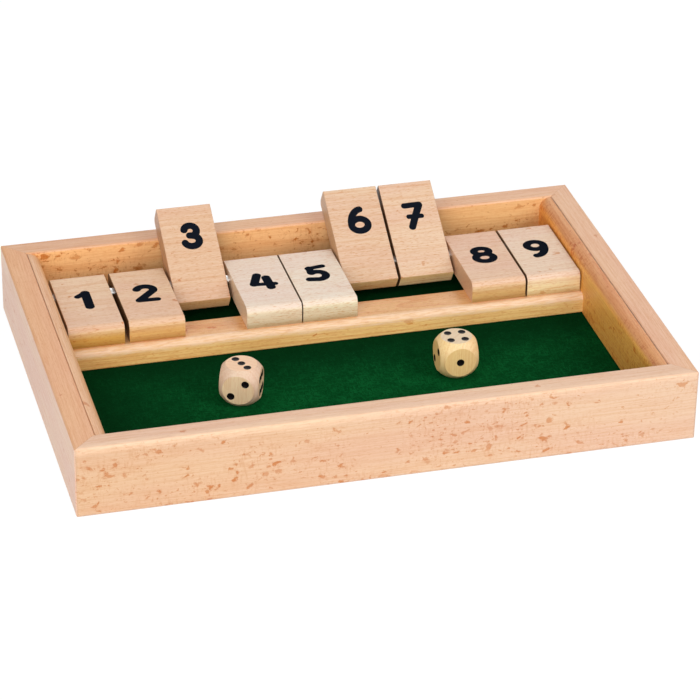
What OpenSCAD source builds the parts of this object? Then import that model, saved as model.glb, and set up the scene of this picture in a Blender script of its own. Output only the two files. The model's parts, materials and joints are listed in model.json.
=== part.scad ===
// Shut the box game: an open wooden tray with nine number tiles hinged on a steel rod, and two dice.
// The origin is the middle of the tray's underside. X runs to the right, Y to the back, Z up.

/* [Tray] */
// Overall width of the tray, left to right
tray_w = 280; // [240:1:340]
// Overall depth of the tray, front to back
tray_d = 190; // [160:1:260]
// Height of the four boards
tray_h = 34; // [30:0.5:44]
// Thickness of the four boards
board_t = 11; // [8:0.5:14]
// Radius of the softened long edges of the boards
board_edge_r = 1.2; // [0.6:0.1:2.5]
// Radius of the four upright corners of the tray
corner_r = 1.5; // [0.8:0.1:4]

/* [Floor] */
// Thickness of the plywood floor panel
panel_t = 4; // [3:0.5:6]
// Height of the floor panel above the table
panel_lift = 2.5; // [1.5:0.5:5]
// How deep the floor panel's edge goes into the boards
groove_d = 4; // [2:0.5:6]
// Play of the floor panel in its groove
groove_play = 0.3; // [0.1:0.1:0.6]
// Thickness of the felt glued on the floor panel
felt_t = 0.9; // [0.5:0.1:2]

/* [Side strips] */
// Thickness of the two strips that hold the rod
strip_t = 5.7; // [5:0.1:9]
// How far the strips end below the top of the boards
strip_drop = 0.4; // [0:0.1:2]
// Radius of the rounded upper inner edge of the strips
strip_round_r = 5.5; // [2:0.5:6]

/* [Stop rail] */
// Width of the stop rail, front to back
rail_w = 18; // [14:0.5:20]
// Height of the stop rail above the felt
rail_h = 9.7; // [7:0.1:13]
// Radius of the rounded front upper edge of the rail
rail_round_r = 3; // [1:0.5:5]
// Radius of the softened back upper edge of the rail
rail_edge_r = 0.8; // [0.3:0.1:2]

/* [Tiles] */
// Length of a tile
tile_l = 51.4; // [44:0.2:56]
// Thickness of a tile
tile_t = 10.4; // [9.6:0.1:12]
// Free play along the rod, all gaps between tiles and strips together
tile_play = 12.7; // [8:0.1:20]
// How far a shut tile's free end stays behind the front face of the rail
tile_setback = 3.85; // [2:0.05:6]
// From a tile's hinged end to the middle of its bore
bore_from_end = 12.3; // [9:0.1:15]
// From a shut tile's upper face to the middle of its bore
bore_from_face = 4.9; // [3.8:0.1:6]
// Radius of the two rounded edges of a tile's upper face, at its free end and its hinged end
tile_round_r = 3.2; // [1:0.1:4]
// Radius of the other softened edges of a tile
tile_edge_r = 0.4; // [0.2:0.1:1]
// Gap between a raised tile and the edge of the back board that it leans on
lean_gap = 0.2; // [0.1:0.05:0.4]
// The tiles that stand raised
raised_tiles = [3, 6, 7];

/* [Rod] */
// From the middle of the rod to the back board's inner face
rod_to_back = 26.65; // [22:0.05:34]
// Diameter of the steel rod
rod_d = 5; // [4:0.1:5.4]
// Difference between a tile's bore and the rod's diameter
bore_play = 0.1; // [0.06:0.02:0.18]
// How deep the rod's ends sit in the side strips
rod_seat = 4.5; // [2:0.5:4.5]
// Difference between the strips' bores and the rod's diameter
seat_play = 0.04; // [0.02:0.02:0.1]

/* [Dice] */
// Width of a die across its flat faces
die_w = 18; // [14:0.5:20]
// Diameter of the ball that rounds off a die's edges and corners
die_ball_d = 23; // [20:0.5:26]
// Diameter of a pip
pip_d = 3.1; // [2:0.1:3.2]
// Depth of a pip
pip_depth = 0.4; // [0.2:0.1:0.8]
// Spacing of the pips on a face
pip_pitch = 3.3; // [2.6:0.1:3.6]
// Middle of the left die, right of the tray's middle
left_die_x = -51.5; // [-90:0.5:-20]
// Middle of the left die, in front of the stop rail
left_die_to_rail = 39.8; // [15:0.1:60]
// Turn of the left die about the upright, seen from above
left_die_turn = -23.4; // [-45:0.1:45]
// Middle of the right die, right of the tray's middle
right_die_x = 49.2; // [20:0.2:90]
// Middle of the right die, in front of the stop rail
right_die_to_rail = 38.3; // [15:0.1:60]
// Turn of the right die about the upright, seen from above
right_die_turn = -2.4; // [-45:0.1:45]

/* [Hidden] */
$fn = 64;
tile_count = 9;
overshoot = 1;

// How the tiles' free play is shared out between the ten gaps, from left to right
gap_share = [1.5, 2.2, 1.2, 1.9, 0.6, 0.9, 1.3, 1.4, 1.0, 0.7];

// Inside of the tray
inner_w = tray_w - 2 * board_t;
inner_d = tray_d - 2 * board_t;
panel_top = panel_lift + panel_t;
felt_top = panel_top + felt_t;
strip_top = tray_h - strip_drop;
strip_face_x = inner_w / 2 - strip_t;
rail_top = felt_top + rail_h;

// Tiles and their hinge line
tile_w = (2 * strip_face_x - tile_play) / tile_count;
hinge_y = inner_d / 2 - rod_to_back;
hinge_z = rail_top + tile_t - bore_from_face;

// The rail lies under the free ends of the shut tiles
rail_front_y = hinge_y + bore_from_end - tile_l - tile_setback;

// A raised tile's back face leans on the rounded inner edge of the back board
lean_edge_y = inner_d / 2 + board_edge_r - hinge_y;
lean_edge_z = tray_h - board_edge_r - hinge_z;
lean_reach = norm([lean_edge_y, lean_edge_z]);
lean_offset = bore_from_face + board_edge_r + lean_gap;
lean_angle = 180 - atan2(lean_edge_z, lean_edge_y) - asin(lean_offset / lean_reach);

// Sum of the first n values of a list
function sum_to(list, n) = n == 0 ? 0 : list[n - 1] + sum_to(list, n - 1);

// Left side of tile number n
function tile_x(n) = -strip_face_x + (n - 1) * tile_w
    + tile_play * sum_to(gap_share, n) / sum_to(gap_share, len(gap_share));

function is_raised(n) = len(search(n, raised_tiles)) > 0;

// Rectangle from the origin with its own radius at each corner, anticlockwise from the origin
module soft_rectangle(w, h, r) {
    polygon([
        [r[0], 0], [w - r[1], 0], [w, r[1]], [w, h - r[2]],
        [w - r[2], h], [r[3], h], [0, h - r[3]], [0, r[0]]
    ]);
    translate([r[0], r[0]]) circle(r[0]);
    translate([w - r[1], r[1]]) circle(r[1]);
    translate([w - r[2], h - r[2]]) circle(r[2]);
    translate([r[3], h - r[3]]) circle(r[3]);
}

// Turns a profile drawn as (Y, Z) into a bar along X, centred on the origin
module bar_along_x(length) {
    translate([-length / 2, 0, 0])
        rotate([90, 0, 90])
            linear_extrude(length) children();
}

// The tray's outline with its rounded upright corners
module footprint() {
    translate([-tray_w / 2, -tray_d / 2, 0])
        linear_extrude(tray_h)
            soft_rectangle(tray_w, tray_d, [corner_r, corner_r, corner_r, corner_r]);
}

// Space that the floor panel's edge takes in the boards
module panel_groove() {
    w = inner_w + 2 * groove_d + groove_play;
    d = inner_d + 2 * groove_d + groove_play;
    translate([-w / 2, -d / 2, panel_lift]) cube([w, d, panel_t]);
}

// A board along the front edge, its ends mitred, for a side of the given length and distance
module mitred_board(length, distance) {
    translate([0, -distance, 0])
        intersection() {
            bar_along_x(length)
                soft_rectangle(board_t, tray_h, [board_edge_r, board_edge_r, board_edge_r, board_edge_r]);
            linear_extrude(tray_h)
                polygon([
                    [-length / 2, 0], [length / 2, 0],
                    [length / 2 - board_t, board_t], [-length / 2 + board_t, board_t]
                ]);
        }
}

module grooved_board(turn, length, distance) {
    color("burlywood")
        difference() {
            intersection() {
                rotate([0, 0, turn]) mitred_board(length, distance);
                footprint();
            }
            panel_groove();
        }
}

module front_board() grooved_board(0, tray_w, tray_d / 2);

module right_board() grooved_board(90, tray_d, tray_w / 2);

module back_board() grooved_board(180, tray_w, tray_d / 2);

module left_board() grooved_board(270, tray_d, tray_w / 2);

module floor_panel() {
    w = inner_w + 2 * groove_d;
    d = inner_d + 2 * groove_d;
    color("wheat")
        translate([-w / 2, -d / 2, panel_lift]) cube([w, d, panel_t]);
}

module felt() {
    color("darkgreen")
        translate([-strip_face_x, -inner_d / 2, panel_top]) cube([2 * strip_face_x, inner_d, felt_t]);
}

// Strip on the right side, with the blind bore for the rod's end
module side_strip() {
    color("tan")
        difference() {
            translate([strip_face_x, inner_d / 2, panel_top])
                rotate([90, 0, 0])
                    linear_extrude(inner_d) {
                        h = strip_top - panel_top;
                        r = min(strip_round_r, strip_t);
                        polygon([[0, 0], [strip_t, 0], [strip_t, h], [r, h], [0, h - r]]);
                        intersection() {
                            translate([r, h - r]) circle(r);
                            translate([0, h - r]) square([r, r]);
                        }
                    }
            translate([strip_face_x - overshoot, hinge_y, hinge_z])
                rotate([0, 90, 0]) cylinder(d = rod_d + seat_play, h = rod_seat + overshoot);
        }
}

module right_strip() side_strip();

module left_strip() mirror([1, 0, 0]) side_strip();

module stop_rail() {
    color("goldenrod")
        translate([0, rail_front_y, felt_top])
            bar_along_x(2 * strip_face_x)
                soft_rectangle(rail_w, rail_h, [rail_edge_r, rail_edge_r, rail_edge_r, rail_round_r]);
}

module hinge_rod() {
    length = 2 * (strip_face_x + rod_seat);
    color("silver")
        translate([-length / 2, hinge_y, hinge_z])
            rotate([0, 90, 0]) cylinder(d = rod_d, h = length);
}

// A shut tile, its bore on the X axis and its left side at X = 0
module shut_tile() {
    r = tile_round_r;
    e = tile_edge_r;
    front = bore_from_end - tile_l;
    bottom = bore_from_face - tile_t;
    difference() {
        intersection() {
            translate([tile_w / 2, front, bottom])
                bar_along_x(tile_w) soft_rectangle(tile_l, tile_t, [e, e, r, r]);
            translate([0, bore_from_end, bottom])
                rotate([90, 0, 0])
                    linear_extrude(tile_l) soft_rectangle(tile_w, tile_t, [e, e, e, e]);
        }
        translate([-overshoot, 0, 0])
            rotate([0, 90, 0]) cylinder(d = rod_d + bore_play, h = tile_w + 2 * overshoot);
    }
}

module tile(n) {
    color(is_raised(n) ? "navajowhite" : "bisque")
        translate([tile_x(n), hinge_y, hinge_z])
            rotate([is_raised(n) ? -lean_angle : 0, 0, 0]) shut_tile();
}

// Ball that hollows out a pip to its diameter and depth
pip_ball_r = (pip_d * pip_d / 4 + pip_depth * pip_depth) / (2 * pip_depth);

// Places of the pips of each number on a face, in steps of the pitch
function pips(number) =
    number == 1 ? [[0, 0]] :
    number == 2 ? [[1, 1], [-1, -1]] :
    number == 3 ? [[-1, 1], [0, 0], [1, -1]] :
    number == 4 ? [[-1, 1], [1, 1], [-1, -1], [1, -1]] :
    number == 5 ? [[-1, 1], [1, 1], [0, 0], [-1, -1], [1, -1]] :
    [[-1, 1], [0, 1], [1, 1], [-1, -1], [0, -1], [1, -1]];

// A die on the XY plane. The numbers are on the top, front, right, back, left and bottom faces
module die(numbers) {
    faces = [[0, 0, 0], [90, 0, 0], [90, 0, 90], [90, 0, 180], [90, 0, 270], [180, 0, 0]];
    color("blanchedalmond")
        translate([0, 0, die_w / 2])
            difference() {
                intersection() {
                    cube(die_w, center = true);
                    sphere(d = die_ball_d);
                }
                for (i = [0:5], p = pips(numbers[i]))
                    rotate(faces[i])
                        translate([p[0] * pip_pitch, p[1] * pip_pitch, die_w / 2 - pip_depth + pip_ball_r])
                            sphere(pip_ball_r);
            }
}

module left_die() {
    translate([left_die_x, rail_front_y - left_die_to_rail, felt_top])
        rotate([0, 0, left_die_turn]) die([3, 2, 6, 5, 1, 4]);
}

module right_die() {
    translate([right_die_x, rail_front_y - right_die_to_rail, felt_top])
        rotate([0, 0, right_die_turn]) die([4, 1, 5, 6, 2, 3]);
}

front_board();
back_board();
left_board();
right_board();
floor_panel();
felt();
left_strip();
right_strip();
stop_rail();
hinge_rod();
tile(1);  // tile_1
tile(2);  // tile_2
tile(3);  // tile_3
tile(4);  // tile_4
tile(5);  // tile_5
tile(6);  // tile_6
tile(7);  // tile_7
tile(8);  // tile_8
tile(9);  // tile_9
left_die();
right_die();
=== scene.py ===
"""Shut the box game: wood finishes, printed numbers, pips, felt and studio for the packed model.

The tray, tiles, rod and dice are the packed solids. This file gives them their finishes and adds the
felt with its lint, the ink of the numbers and the black of the pips. Lengths are in metres unless a
name ends in _mm.
"""

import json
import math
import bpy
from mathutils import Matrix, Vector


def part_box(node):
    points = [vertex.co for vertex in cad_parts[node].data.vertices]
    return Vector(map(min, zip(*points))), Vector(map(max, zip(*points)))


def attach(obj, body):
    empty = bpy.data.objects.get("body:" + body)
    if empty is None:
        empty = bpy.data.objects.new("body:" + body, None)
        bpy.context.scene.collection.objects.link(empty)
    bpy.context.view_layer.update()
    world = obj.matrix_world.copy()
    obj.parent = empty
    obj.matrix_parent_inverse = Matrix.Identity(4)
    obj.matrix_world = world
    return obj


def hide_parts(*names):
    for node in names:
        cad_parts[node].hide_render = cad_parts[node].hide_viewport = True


bl_info = {
    "name": "Shut the box game",
    "version": (1, 0, 0),
    "blender": (4, 5, 0),
    "location": "3D View > Sidebar > Game",
    "description": "Finishes a wooden shut the box game with nine numbered tiles and two dice",
    "category": "Object",
}

import bmesh
import bpy
import numpy as np
from mathutils import Matrix, Quaternion, Vector, noise
from mathutils.geometry import tessellate_polygon

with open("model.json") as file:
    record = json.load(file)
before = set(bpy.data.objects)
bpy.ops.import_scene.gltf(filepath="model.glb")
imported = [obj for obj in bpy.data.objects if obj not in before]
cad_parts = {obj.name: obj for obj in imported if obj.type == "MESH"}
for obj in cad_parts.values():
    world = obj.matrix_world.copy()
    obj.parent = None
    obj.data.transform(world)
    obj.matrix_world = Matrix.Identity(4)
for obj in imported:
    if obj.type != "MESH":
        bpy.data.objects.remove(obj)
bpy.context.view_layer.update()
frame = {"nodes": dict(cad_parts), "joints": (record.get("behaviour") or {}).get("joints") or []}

MM = 0.001
TILES = range(1, 10)
HALF_LENGTH_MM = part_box("right_board")[1].x / MM
HALF_DEPTH_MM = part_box("back_board")[1].y / MM
SEAM_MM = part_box("right_strip")[1].x / MM
HINGE = {j["child"]: Vector(j["pos_m"]) for j in frame["joints"] if j["child"].startswith("tile_")}


# Colours and properties


def linear(red, green, blue):
    """Turns a colour written as 0 to 255 into the linear values that shaders use."""
    out = []
    for value in (red, green, blue):
        share = value / 255
        out.append(share / 12.92 if share <= 0.04045 else ((share + 0.055) / 1.055) ** 2.4)
    return tuple(out)


def tinted(colour, tint):
    """A colour times a tint, channel by channel, with the alpha that a socket wants."""
    return tuple(min(1.0, c * t) for c, t in zip(colour, tint)) + (1.0,)


def opaque(colour):
    """A colour with the full alpha that a socket wants."""
    return tuple(colour) + (1.0,)


def colour_prop(name, description, rgb):
    """A colour property with its default written as 0 to 255."""
    return bpy.props.FloatVectorProperty(
        name=name, description=description, default=linear(*rgb), subtype="COLOR", size=3, min=0, max=1
    )


def length_prop(name, description, millimetres):
    """A length property with its default written in millimetres."""
    return bpy.props.FloatProperty(
        name=name, description=description, default=millimetres * MM, unit="LENGTH", precision=5
    )


def share_prop(name, description, default):
    """A share from 0 to 1."""
    return bpy.props.FloatProperty(
        name=name, description=description, default=default, min=0, max=1, subtype="FACTOR"
    )


def power_prop(name, description, watts):
    """The power of a lamp."""
    return bpy.props.FloatProperty(name=name, description=description, default=watts, unit="POWER")


def count_prop(name, description, default):
    """A whole number, from nothing up."""
    return bpy.props.IntProperty(name=name, description=description, default=default, min=0)


class GameWood(bpy.types.PropertyGroup):
    """Colours and figure of the wooden pieces."""

    board: colour_prop("Boards", "Ground colour of the tray's four boards", (234, 188, 150))
    strip: colour_prop("Side strips", "Ground colour of the strips that hold the rod", (222, 166, 116))
    rail: colour_prop("Stop rail", "Ground colour of the rail under the tiles", (224, 172, 118))
    tile: colour_prop("Tiles", "Ground colour of the nine tiles", (226, 188, 154))
    die: colour_prop("Dice", "Ground colour of the two dice", (234, 208, 170))
    panel: colour_prop("Floor panel", "Face veneer of the plywood under the felt", (222, 190, 148))
    late: colour_prop("Late wood", "What the year rings and pores multiply the ground by", (236, 206, 176))
    fleck: colour_prop("Flecks", "What the ray flecks multiply the ground by", (228, 178, 126))
    blush: colour_prop("Blush", "What the pinker clouds multiply the ground by", (252, 246, 250))
    # Colour of the painted highlight along the rounded front edges.
    worn: colour_prop("Worn edge", "Pale wood of the rounded front edges", (250, 216, 182))
    ring: length_prop("Ring width", "Width of one year ring", 1.7)
    fleck_size: length_prop("Fleck size", "Spacing of the ray flecks on the boards", 4.7)
    satin: share_prop("Roughness", "How dull the oiled surface is", 0.4)


class GameInk(bpy.types.PropertyGroup):
    """Printed numbers and painted pips."""

    ink: colour_prop("Number ink", "Blue-black ink of the numbers", (20, 25, 34))
    paint: colour_prop("Pip paint", "Black paint in the dice's dimples", (16, 12, 14))
    film: length_prop("Ink film", "How far the printed ink stands proud", 0.02)
    pip_wide: length_prop("Pip paint width", "Diameter of the paint in and round a dimple", 3.55)


class GameFelt(bpy.types.PropertyGroup):
    """The green felt on the tray's floor."""

    green: colour_prop("Felt", "Ground colour of the felt", (11, 82, 38))
    light: colour_prop("Lint", "Colour of the loose fibre ends", (22, 104, 52))
    wave: length_prop("Wave", "Height of the felt's slow unevenness", 0.09)
    edge: length_prop("Edge", "Radius of the felt's soft cut edge", 0.45)
    hairs: count_prop("Hairs", "Number of loose fibre ends over the whole sheet", 7500)
    hair_long: length_prop("Hair length", "Length of a loose fibre end", 1.5)
    hair_thick: length_prop("Hair thickness", "Thickness of a loose fibre end", 0.045)
    seed: count_prop("Seed", "Changes how the fibres lie", 4)


class GameStudio(bpy.types.PropertyGroup):
    """Camera, lamps and floor."""

    lens: bpy.props.FloatProperty(name="Lens", description="Focal length in mm", default=164.543)
    stand: bpy.props.FloatVectorProperty(
        name="Camera", description="Where it stands", default=(-0.33148, -1.23386, 0.74020), subtype="XYZ"
    )
    aim: bpy.props.FloatVectorProperty(
        name="Aim", description="Middle of the picture", default=(0.001327, -0.015967, 0.02), subtype="XYZ"
    )
    roll: bpy.props.FloatProperty(
        name="Roll", description="How far the camera is tipped", default=math.radians(0.904), unit="ROTATION"
    )
    sky: share_prop("Sky light", "Strength of the even white light from all round", 0.3)
    key: power_prop("Key lamp", "Power of the large lamp in front", 38.0)
    side: power_prop("Side lamp", "Power of the weaker lamp on the right", 16.0)
    back: power_prop("Back lamp", "Power of the large lamp above and behind", 6.0)
    floor: colour_prop("Floor", "Colour of the plain floor", (205, 205, 205))


# Node trees


class Wiring:
    """Puts nodes in one tree, sets their values and joins their sockets."""

    def __init__(self, tree):
        self.tree = tree

    def put(self, kind, values=None, **settings):
        node = self.tree.nodes.new(kind)
        for key, value in settings.items():
            setattr(node, key, value)
        for key, value in (values or {}).items():
            self.join(value, node.inputs[key])
        return node

    def join(self, value, socket):
        """Links a socket, or a node's first output, or else sets a plain value."""
        if isinstance(value, bpy.types.Node):
            value = value.outputs[0]
        if isinstance(value, bpy.types.NodeSocket):
            self.tree.links.new(value, socket)
        else:
            socket.default_value = value

    def math(self, operation, *values, clamp=False):
        node = self.put("ShaderNodeMath", dict(enumerate(values)), operation=operation, use_clamp=clamp)
        return node.outputs[0]

    def times(self, *values, **more):
        return self.math("MULTIPLY", *values, **more)

    def plus(self, *values, **more):
        return self.math("ADD", *values, **more)

    def minus(self, *values):
        return self.math("SUBTRACT", *values)

    def absolute(self, value):
        return self.math("ABSOLUTE", value)

    def largest(self, value, *others):
        for other in others:
            value = self.math("MAXIMUM", value, other)
        return value

    def between(self, share, start, end):
        """A value that goes from start to end as a share goes from 0 to 1."""
        return self.math("MULTIPLY_ADD", share, end - start, start)

    def vector(self, operation, *values, out="Vector"):
        node = self.put("ShaderNodeVectorMath", dict(enumerate(values)), operation=operation)
        return node.outputs[out]

    def parts(self, vector):
        """The x, y and z of a vector."""
        return self.put("ShaderNodeSeparateXYZ", {"Vector": vector}).outputs

    def point(self, **parts):
        """A vector made from its X, Y and Z."""
        return self.put("ShaderNodeCombineXYZ", parts).outputs[0]

    def blend(self, share, first, second):
        """Two numbers mixed by a share."""
        return self.put("ShaderNodeMix", {0: share, 2: first, 3: second}, data_type="FLOAT").outputs[0]

    def mix(self, share, first, second, blend="MIX"):
        """Two colours mixed by a share."""
        node = self.put("ShaderNodeMix", {0: share, 6: first, 7: second}, data_type="RGBA", blend_type=blend)
        return node.outputs[2]

    def step(self, value, low, high, start=0.0, end=1.0):
        """A soft step from start to end as value goes from low to high."""
        values = {"Value": value, "From Min": low, "From Max": high, "To Min": start, "To Max": end}
        return self.put("ShaderNodeMapRange", values, interpolation_type="SMOOTHSTEP").outputs["Result"]

    def noise(self, place, stretch, detail=1.0, rough=0.5, out="Fac"):
        """Noise on a place, stretched by cycles per unit along x, y and z."""
        moved = self.vector("MULTIPLY", place, stretch)
        values = {"Vector": moved, "Scale": 1.0, "Detail": detail, "Roughness": rough}
        return self.put("ShaderNodeTexNoise", values).outputs[out]

    def lengthwise(self, value, scale, detail=0.0):
        """Noise along one number."""
        values = {"W": value, "Scale": scale, "Detail": detail}
        return self.put("ShaderNodeTexNoise", values, noise_dimensions="1D").outputs["Fac"]

    def group(self, name, **values):
        """A shared group with its own values, made the first time it is asked for."""
        tree = bpy.data.node_groups.get(name) or GROUPS[name]()
        node = self.put("ShaderNodeGroup", node_tree=tree)
        for key, value in values.items():
            self.join(value, node.inputs[key.replace("_", " ")])
        return node.outputs


def new_group(name, inputs, outputs):
    """An empty shader group. A default of 3 numbers makes a vector input, and one of 4 a colour."""
    tree = bpy.data.node_groups.new(name, "ShaderNodeTree")
    for label, default in inputs.items():
        kind = {3: "Vector", 4: "Color"}[len(default)] if isinstance(default, tuple) else "Float"
        socket = tree.interface.new_socket(name=label, in_out="INPUT", socket_type="NodeSocket" + kind)
        socket.default_value = default
    for label in outputs:
        kind = "Color" if label == "Color" else "Float"
        tree.interface.new_socket(name=label, in_out="OUTPUT", socket_type="NodeSocket" + kind)
    w = Wiring(tree)
    return w, w.put("NodeGroupInput").outputs, w.put("NodeGroupOutput").inputs


def year_rings(w, place, heart, width):
    """Distance from the tree's heart in rings, with its slow wander, as a 0 to 1 saw in each ring."""
    drift = w.noise(place, (0.010, 0.045, 0.045), 2.0)
    across = w.vector("MULTIPLY", w.vector("SUBTRACT", place, heart), (0.0, 1.0, 1.0))
    radius = w.vector("LENGTH", across, out="Value")
    radius = w.plus(radius, w.times(w.minus(drift, 0.5), 9.0))
    rings = w.math("DIVIDE", radius, width)
    uneven = w.times(w.lengthwise(rings, 0.37, 1.0), 1.4)
    late = w.step(w.math("FRACT", w.plus(rings, uneven)), 0.35, 0.95)
    return w.times(late, w.step(w.lengthwise(rings, 0.9), 0.3, 0.7, 0.25, 1.0))


def ray_flecks(w, place, wide, high, share, clump):
    """Irregular flecks on a surface along the grain, each cell of the pattern holding one or none."""
    moved = place
    for stretch, detail, rough, reach in (
        ((0.12, 0.25, 0.25), 1.0, 0.5, (9.0, 4.0, 4.0)),
        ((0.9, 0.9, 0.9), 2.0, 0.6, (3.0, 1.6, 1.6)),
    ):
        jolt = w.vector("SUBTRACT", w.noise(place, stretch, detail, rough, "Color"), (0.5, 0.5, 0.5))
        moved = w.vector("ADD", moved, w.vector("MULTIPLY", jolt, reach))
    split = w.parts(moved)
    flat = w.point(X=w.math("DIVIDE", split[0], wide), Y=w.math("DIVIDE", w.plus(split[1], split[2]), high))
    cells = {"Vector": flat, "Scale": 1.0, "Randomness": 1.0}
    cell = w.put("ShaderNodeTexVoronoi", cells, voronoi_dimensions="2D").outputs
    lot = w.put("ShaderNodeSeparateColor", {"Color": cell["Color"]}).outputs
    there = w.math("LESS_THAN", lot[0], w.times(share, clump))
    reach = w.between(w.times(lot[1], lot[1]), 0.12, 0.28)
    body = w.step(w.minus(cell["Distance"], reach), -0.09, 0.05, 1.0, 0.0)
    return w.times(w.times(there, body), w.between(lot[2], 0.45, 1.0))


def beech_group():
    """Beech along the grain: year rings, streaks, pores and ray flecks on a place in millimetres."""
    w, given, made = new_group(
        "Beech figure",
        {
            "Place": (0, 0, 0),
            "Heart": (0, -70, 60),
            "Ground": (0.8, 0.5, 0.3, 1),
            "Late": (0.8, 0.7, 0.6, 1),
            "Fleck": (0.7, 0.5, 0.3, 1),
            "Blush": (1, 0.95, 0.97, 1),
            "Ring width": 1.7,
            "Ring strength": 0.45,
            "Streak strength": 0.5,
            "Pore strength": 0.5,
            "Fleck share": 0.3,
            "Fleck size": 3.1,
            "Dash strength": 0.5,
        },
        ["Color", "Roughness", "Height"],
    )
    place = given["Place"]
    rings = year_rings(w, place, given["Heart"], given["Ring width"])
    streak = w.step(w.noise(place, (0.05, 1.9, 1.9), 2.0, 0.6), 0.34, 0.72)
    pore = w.step(w.noise(place, (0.42, 3.8, 3.8)), 0.56, 0.70)
    cloud = w.step(w.noise(place, (0.011, 0.05, 0.05)), 0.35, 0.65)
    clump = w.step(w.noise(place, (0.035, 0.06, 0.06)), 0.34, 0.66, 0.25, 1.6)

    size, share = given["Fleck size"], given["Fleck share"]
    large = ray_flecks(w, place, w.times(size, 1.4), size, share, clump)
    shifted = w.vector("ADD", place, (71.3, 38.9, 17.7))
    small = ray_flecks(w, shifted, w.times(size, 0.5), w.times(size, 0.36), w.times(share, 0.75), clump)
    dash = w.step(w.noise(place, (1.1, 0.3, 0.3), 1.0, 0.6), 0.52, 0.68)
    dashes = w.times(w.times(w.times(dash, share), w.times(clump, 0.5)), given["Dash strength"])
    flecks = w.plus(w.largest(large, w.times(small, 0.8)), dashes, clamp=True)

    colour = w.mix(cloud, given["Ground"], given["Blush"], "MULTIPLY")
    figure = w.times(rings, given["Ring strength"])
    figure = w.plus(figure, w.times(streak, given["Streak strength"]), clamp=True)
    colour = w.mix(figure, colour, given["Late"], "MULTIPLY")
    pores = w.times(pore, given["Pore strength"])
    colour = w.mix(pores, colour, given["Late"], "MULTIPLY")
    w.join(w.mix(flecks, colour, given["Fleck"], "MULTIPLY"), made["Color"])
    w.join(w.between(streak, -0.05, 0.05), made["Roughness"])
    height = w.minus(w.times(streak, -0.35), w.times(pores, 1.0))
    w.join(w.minus(height, w.times(flecks, 0.25)), made["Height"])
    return w.tree


def end_grain_group():
    """Wood cut across the grain: rings as bands, fine pores and thin rays, on a place in millimetres."""
    w, given, made = new_group(
        "End grain figure",
        {
            "Place": (0, 0, 0),
            "Heart": (0, -70, 60),
            "Ground": (0.6, 0.4, 0.25, 1),
            "Late": (0.7, 0.6, 0.5, 1),
            "Ring width": 1.7,
            "Depth": 0.6,
        },
        ["Color", "Height"],
    )
    place = given["Place"]
    rings = year_rings(w, place, given["Heart"], given["Ring width"])
    pore = w.step(w.noise(place, (0.05, 5.0, 5.0), 0.0), 0.58, 0.72)
    split = w.parts(w.vector("SUBTRACT", place, given["Heart"]))
    turn = w.times(w.math("ARCTAN2", split[2], split[1]), 200.0)
    ray = w.step(w.lengthwise(turn, 1.0), 0.62, 0.75)
    dark = w.times(w.plus(w.times(rings, 0.6), w.times(pore, 0.5)), given["Depth"], clamp=True)
    colour = w.mix(dark, given["Ground"], given["Late"], "MULTIPLY")
    w.join(w.mix(w.times(ray, 0.35), colour, given["Ground"]), made["Color"])
    w.join(w.times(pore, -1.0), made["Height"])
    return w.tree


def mitre_group():
    """The glue line where two boards of the tray meet at a corner, on the tray's own place in millimetres."""
    w, given, made = new_group("Mitre line", {"Place": (0, 0, 0), "Width": 0.16}, ["Mask"])
    split = w.parts(given["Place"])
    from_end = w.minus(HALF_LENGTH_MM, w.absolute(split[0]))
    from_side = w.minus(HALF_DEPTH_MM, w.absolute(split[1]))
    apart = w.absolute(w.minus(from_end, from_side))
    w.join(w.step(apart, 0.0, given["Width"], 1.0, 0.0), made["Mask"])
    return w.tree


def edge_highlight_group():
    """A streaky mask of painted highlight round one long edge of a piece that runs along x, on a place in
    millimetres.
    """
    sizes = {"Place": (0, 0, 0), "Edge": (0, 14, 17), "Reach": 1.6, "Fade": 3.8}
    w, given, made = new_group("Worn edge", sizes, ["Mask"])
    place = given["Place"]
    streak = w.noise(place, (0.06, 0.9, 0.9), 2.0, 0.6)
    away = w.vector("MULTIPLY", w.vector("SUBTRACT", place, given["Edge"]), (0.0, 0.8, 0.85))
    away = w.plus(w.vector("LENGTH", away, out="Value"), w.between(streak, -1.5, 1.5))
    near = w.step(away, given["Reach"], given["Fade"], 1.0, 0.0)
    fine = w.step(w.noise(place, (0.16, 1.6, 1.6), 2.0, 0.6), 0.34, 0.62, 0.45, 1.0)
    w.join(w.times(near, fine), made["Mask"])
    return w.tree


def facing_group():
    """How squarely a surface of a piece faces one of its own axes, as a soft mask."""
    sizes = {"Normal": (0, 0, 1), "Axis": (1, 0, 0), "Low": 0.6, "High": 0.9}
    w, given, made = new_group("Facing", sizes, ["Mask"])
    along = w.vector("DOT_PRODUCT", given["Normal"], given["Axis"], out="Value")
    w.join(w.step(w.absolute(along), given["Low"], given["High"]), made["Mask"])
    return w.tree


GROUPS = {
    "Beech figure": beech_group,
    "End grain figure": end_grain_group,
    "Mitre line": mitre_group,
    "Worn edge": edge_highlight_group,
    "Facing": facing_group,
}


# Materials


GLUE = linear(112, 54, 20)
BARE_WOOD = linear(96, 74, 58)
STEEL = (linear(206, 203, 200), linear(240, 239, 237))


def new_material(name, rough=0.5, **constants):
    """A material with one Principled shader. Constants are set on the shader's own sockets."""
    material = bpy.data.materials.new(name)
    material.use_nodes = True
    shader = material.node_tree.nodes["Principled BSDF"]
    for key, value in {"Roughness": rough, **constants}.items():
        shader.inputs[key.replace("_", " ")].default_value = value
    return material, Wiring(material.node_tree), shader


def dress(w, shader, colour, rough, height=None, depth_mm=0.0):
    """Gives a shader its colour, its roughness and, with a height, a bump of a real depth."""
    w.join(colour, shader.inputs["Base Color"])
    w.join(rough, shader.inputs["Roughness"])
    if height is not None:
        bump = w.put("ShaderNodeBump", {"Strength": 1.0, "Distance": depth_mm * MM, "Height": height})
        w.join(bump.outputs["Normal"], shader.inputs["Normal"])


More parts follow.
